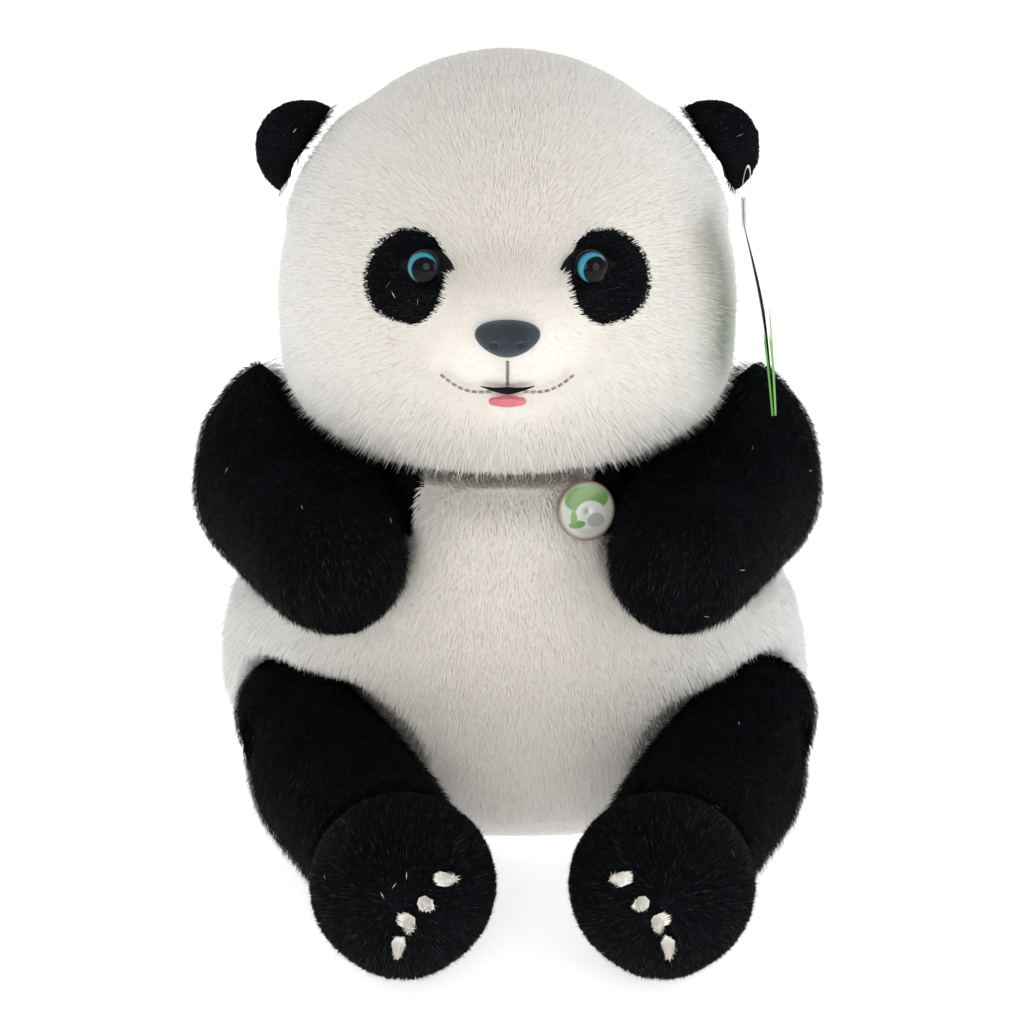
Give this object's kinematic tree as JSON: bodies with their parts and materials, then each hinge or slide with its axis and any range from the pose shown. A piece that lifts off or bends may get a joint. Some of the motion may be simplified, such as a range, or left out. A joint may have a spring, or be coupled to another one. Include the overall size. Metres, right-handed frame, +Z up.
{
  "type": "plush panda",
  "caption": "Sitting stuffed panda with a long soft pile, jointed head, ears, arms and legs, plastic eyes and nose, a pin badge and a blank hang tag.",
  "frame": {"origin": "middle of the flat seat, on the surface that the panda sits on, under the neck", "axes": "+Z up, the face looks along -Y, +X is the panda's own left"},
  "size_m": [0.276, 0.3271, 0.336],
  "materials": {
    "white_pile": "long soft pile",
    "black_pile": "long soft pile",
    "stuffing": "polyester fibre",
    "felt_black": "matte felt",
    "felt_pink": "matte felt",
    "flock": "flocked",
    "thread": "matte thread",
    "claw_white": "short pile",
    "iris_blue": "painted, glossy",
    "clear_plastic": "clear, glossy",
    "plastic": "moulded",
    "tin": "glossy print",
    "steel": "satin",
    "card": "coated card",
    "card_green": "coated card",
    "satin": "woven satin",
    "bag_cloth": "plain weave"
  },
  "bodies": {
    "torso": {"torso_skin": "white_pile", "shoulder_yoke": "black_pile", "torso_stuffing": "stuffing", "pellet_bag": "bag_cloth", "tail_skin": "white_pile", "tail_stuffing": "stuffing", "closing_seam": "thread", "care_label": "satin", "badge_face": "tin", "badge_back": "steel", "badge_pin": "steel"},
    "neck": {"neck_tie": "thread"},
    "head": {"head_skin": "white_pile", "head_stuffing": "stuffing", "eye_patch_left": "black_pile", "eye_rim_left": "felt_black", "eye_iris_left": "iris_blue", "eye_dome_left": "clear_plastic", "eye_washer_left": "plastic", "eye_patch_right": "black_pile", "eye_rim_right": "felt_black", "eye_iris_right": "iris_blue", "eye_dome_right": "clear_plastic", "eye_washer_right": "plastic", "nose": "flock", "nose_washer": "plastic", "philtrum_stitch": "thread", "mouth_stitch_left": "thread", "mouth_stitch_right": "thread", "mouth_lining": "felt_black", "tongue": "felt_pink"},
    "hang_tag": {"tag_front": "card", "tag_back": "card_green", "tag_loop": "plastic"},
    "ear_left": {"ear_skin_left": "black_pile", "ear_wadding_left": "stuffing"},
    "arm_left": {"arm_skin_left": "black_pile", "arm_stuffing_left": "stuffing"},
    "leg_left": {"leg_skin_left": "black_pile", "leg_stuffing_left": "stuffing", "foot_skin_left": "black_pile", "foot_stuffing_left": "stuffing", "claw_1_left": "claw_white", "claw_2_left": "claw_white", "claw_3_left": "claw_white", "claw_4_left": "claw_white"},
    "ear_right": {"ear_skin_right": "black_pile", "ear_wadding_right": "stuffing"},
    "arm_right": {"arm_skin_right": "black_pile", "arm_stuffing_right": "stuffing"},
    "leg_right": {"leg_skin_right": "black_pile", "leg_stuffing_right": "stuffing", "foot_skin_right": "black_pile", "foot_stuffing_right": "stuffing", "claw_1_right": "claw_white", "claw_2_right": "claw_white", "claw_3_right": "claw_white", "claw_4_right": "claw_white"}
  },
  "joints": [
    {"name": "neck_turn", "type": "hinge", "parent": "torso", "child": "neck", "pos_m": [0, 0, 0.166], "axis": [0, 0, 1], "range_deg": [-16, 16], "stiffness_Nm_per_rad": 0.8},
    {"name": "neck_nod", "type": "hinge", "parent": "neck", "child": "head", "pos_m": [0, 0, 0.166], "axis": [1, 0, 0], "range_deg": [-5, 3], "stiffness_Nm_per_rad": 3},
    {"name": "ear_bend_left", "type": "hinge", "parent": "head", "child": "ear_left", "pos_m": [0.085, 0.008, 0.288], "axis": [-0.4299, 0, 0.9029], "range_deg": [-14, 14], "stiffness_Nm_per_rad": 0.03},
    {"name": "ear_bend_right", "type": "hinge", "parent": "head", "child": "ear_right", "pos_m": [-0.085, 0.008, 0.288], "axis": [0.4299, 0, 0.9029], "range_deg": [-14, 14], "stiffness_Nm_per_rad": 0.03},
    {"name": "tag_swing", "type": "hinge", "parent": "head", "child": "hang_tag", "pos_m": [0.099, -0.013, 0.287], "axis": [0, -1, 0], "range_deg": [0, 60]},
    {"name": "shoulder_left", "type": "hinge", "parent": "torso", "child": "arm_left", "pos_m": [0.098, 0.002, 0.15], "axis": [0, 0, 1], "range_deg": [0, 45], "stiffness_Nm_per_rad": 0.3},
    {"name": "shoulder_right", "type": "hinge", "parent": "torso", "child": "arm_right", "pos_m": [-0.098, 0.002, 0.15], "axis": [0, 0, -1], "range_deg": [0, 45], "stiffness_Nm_per_rad": 0.3},
    {"name": "hip_left", "type": "hinge", "parent": "torso", "child": "leg_left", "pos_m": [0.11, -0.05, 0.051], "axis": [0, 0, 1], "range_deg": [0, 25], "stiffness_Nm_per_rad": 0.6},
    {"name": "hip_right", "type": "hinge", "parent": "torso", "child": "leg_right", "pos_m": [-0.094, -0.05, 0.051], "axis": [0, 0, -1], "range_deg": [0, 25], "stiffness_Nm_per_rad": 0.6}
  ]
}
